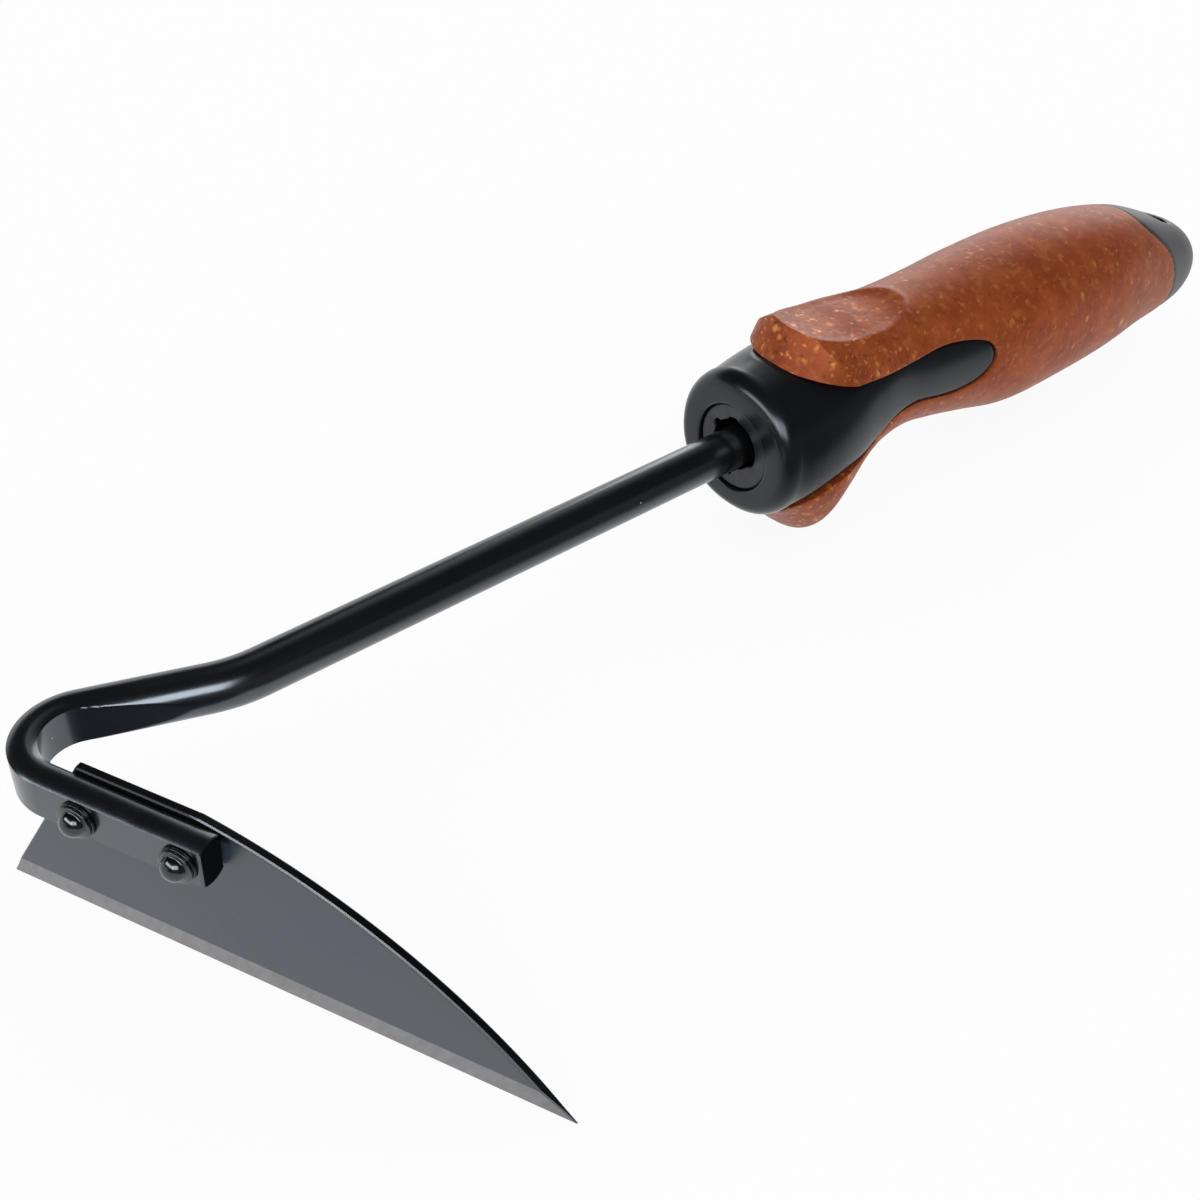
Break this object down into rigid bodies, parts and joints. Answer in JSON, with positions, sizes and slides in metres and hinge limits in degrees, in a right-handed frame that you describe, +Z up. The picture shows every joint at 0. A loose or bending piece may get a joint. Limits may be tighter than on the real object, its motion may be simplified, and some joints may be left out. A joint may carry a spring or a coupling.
{
  "type": "hand hoe",
  "caption": "Hand hoe with a sickle-shaped blade riveted to a hooked steel shank and a thumb-rest grip with a soft collar.",
  "frame": {"origin": "on the floor that the tool stands on, under the middle of its extents in X and Y", "axes": "+X from the handle towards the head, +Y to the side that the blade's tip points to, +Z up, the side of the thumb rest"},
  "size_m": [0.2908, 0.0959, 0.0454],
  "materials": {
    "shank_enamel": "glossy black enamel",
    "blade_steel": "satin grey lacquer over steel, ground brighter along the cutting edge",
    "fastener_black": "glossy black",
    "speckled_composite": "satin copper-brown composite with golden flecks",
    "soft_black": "satin black soft plastic",
    "core_black": "black moulded plastic",
    "cap_grey": "satin dark grey plastic"
  },
  "bodies": {
    "root": {"shank": "shank_enamel", "blade": "blade_steel", "blade_rivet_heel_side": "fastener_black", "blade_rivet_tip_side": "fastener_black", "washer_heel_side": "fastener_black", "washer_tip_side": "fastener_black", "grip": "speckled_composite", "soft_collar": "soft_black", "socket_core": "core_black", "tail_cap": "cap_grey"}
  },
  "joints": []
}
